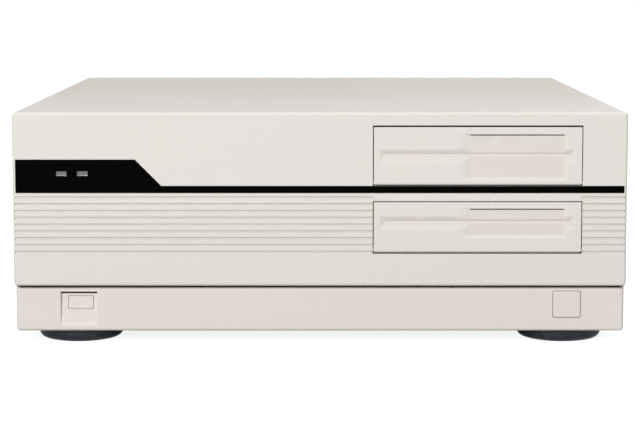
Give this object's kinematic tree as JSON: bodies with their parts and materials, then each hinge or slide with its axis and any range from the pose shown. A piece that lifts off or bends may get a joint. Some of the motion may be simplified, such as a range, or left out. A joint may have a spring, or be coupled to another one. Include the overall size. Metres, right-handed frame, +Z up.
{
  "type": "desktop computer",
  "caption": "Low desktop computer case with a ribbed front, a black stripe with lamps, drop-down drive-bay doors, push buttons and round feet.",
  "frame": {"origin": "centre of the footprint on the table top, under the feet", "axes": "+X to the right side seen from the front, +Y to the back, +Z up"},
  "size_m": [0.442, 0.43, 0.17],
  "materials": {
    "front_plastic": "fine-grained off-white moulded plastic",
    "band_plastic": "fine-grained off-white moulded plastic, a shade warmer",
    "painted_steel": "satin powder coat in warm off-white",
    "black_plastic": "satin black moulded plastic",
    "lamp": "clear grey-white lens",
    "bare_steel": "zinc-plated sheet steel",
    "rubber": "near-black moulded rubber",
    "circuit_board": "green circuit board",
    "dark_plastic": "black moulded plastic",
    "aluminium": "plain extruded and cast aluminium"
  },
  "bodies": {
    "case": {"base_pan": "bare_steel", "front_plate": "bare_steel", "rear_panel": "bare_steel", "cover_screw_1": "bare_steel", "cover_screw_2": "bare_steel", "slot_cover_1": "bare_steel", "slot_cover_2": "bare_steel", "slot_cover_3": "bare_steel", "slot_cover_4": "bare_steel", "drive_cage": "bare_steel", "front_usb_port_1": "bare_steel", "front_usb_port_2": "bare_steel", "io_shield": "bare_steel", "rear_usb_ports": "bare_steel", "network_port": "bare_steel", "display_port": "bare_steel", "psu_tray": "bare_steel", "psu_lid": "bare_steel", "top_cover": "painted_steel", "front_fascia": "front_plastic", "lower_valance": "band_plastic", "stripe_inlay": "black_plastic", "power_lamp": "lamp", "drive_lamp": "lamp", "lamp_board": "circuit_board", "front_port_board": "circuit_board", "motherboard": "circuit_board", "memory_module_1": "circuit_board", "memory_module_2": "circuit_board", "psu_board": "circuit_board", "foot_front_left": "rubber", "foot_front_right": "rubber", "foot_rear_left": "rubber", "foot_rear_right": "rubber", "power_switch": "dark_plastic", "reset_switch": "dark_plastic", "optical_drive": "dark_plastic", "optical_tray_front": "dark_plastic", "front_port_panel": "dark_plastic", "headset_jack": "dark_plastic", "audio_jacks": "dark_plastic", "mains_inlet": "dark_plastic", "psu_switch": "dark_plastic", "rear_fan_frame_1": "dark_plastic", "rear_fan_frame_2": "dark_plastic", "psu_fan_frame": "dark_plastic", "cpu_fan_frame": "dark_plastic", "power_cable": "dark_plastic", "cpu_heatsink": "aluminium", "hard_drive": "aluminium"},
    "upper_door": {"upper_door": "front_plastic"},
    "lower_door": {"lower_door": "front_plastic"},
    "power_button": {"power_button": "band_plastic"},
    "reset_button": {"reset_button": "band_plastic"},
    "eject_button": {"eject_button": "dark_plastic"},
    "rear_fan_rotor_1": {"rear_fan_rotor_1": "dark_plastic"},
    "rear_fan_rotor_2": {"rear_fan_rotor_2": "dark_plastic"},
    "psu_fan_rotor": {"psu_fan_rotor": "dark_plastic"},
    "cpu_fan_rotor": {"cpu_fan_rotor": "dark_plastic"},
    "psu_rocker": {"psu_rocker": "dark_plastic"}
  },
  "joints": [
    {"name": "upper_door_hinge", "type": "hinge", "parent": "case", "child": "upper_door", "pos_m": [0.11335, -0.2132, 0.1192], "axis": [1, 0, 0], "range_deg": [0, 90]},
    {"name": "lower_door_hinge", "type": "hinge", "parent": "case", "child": "lower_door", "pos_m": [0.11335, -0.2132, 0.0703], "axis": [1, 0, 0], "range_deg": [0, 90]},
    {"name": "power_button_press", "type": "slide", "parent": "case", "child": "power_button", "axis": [0, 1, 0], "range_m": [0, 0.003], "stiffness_N_per_m": 800, "springref_m": -0.001},
    {"name": "reset_button_press", "type": "slide", "parent": "case", "child": "reset_button", "axis": [0, 1, 0], "range_m": [0, 0.0015], "stiffness_N_per_m": 700, "springref_m": -0.001},
    {"name": "eject_button_press", "type": "slide", "parent": "case", "child": "eject_button", "axis": [0, 1, 0], "range_m": [0, 0.0012], "stiffness_N_per_m": 600, "springref_m": -0.001},
    {"name": "rear_fan_spin_1", "type": "hinge", "parent": "case", "child": "rear_fan_rotor_1", "pos_m": [-0.06058, 0.1962, 0.11], "axis": [0, 1, 0], "continuous": true},
    {"name": "rear_fan_spin_2", "type": "hinge", "parent": "case", "child": "rear_fan_rotor_2", "pos_m": [0.02243, 0.1962, 0.11], "axis": [0, 1, 0], "continuous": true},
    {"name": "psu_fan_spin", "type": "hinge", "parent": "case", "child": "psu_fan_rotor", "pos_m": [0.1116, 0.1949, 0.0565], "axis": [0, 1, 0], "continuous": true},
    {"name": "cpu_fan_spin", "type": "hinge", "parent": "case", "child": "cpu_fan_rotor", "pos_m": [-0.0137, 0.1188, 0.0765], "axis": [0, 0, 1], "continuous": true},
    {"name": "psu_rocker_pivot", "type": "hinge", "parent": "case", "child": "psu_rocker", "pos_m": [0.1856, 0.207, 0.0755], "axis": [1, 0, 0], "range_deg": [0, 22]}
  ]
}
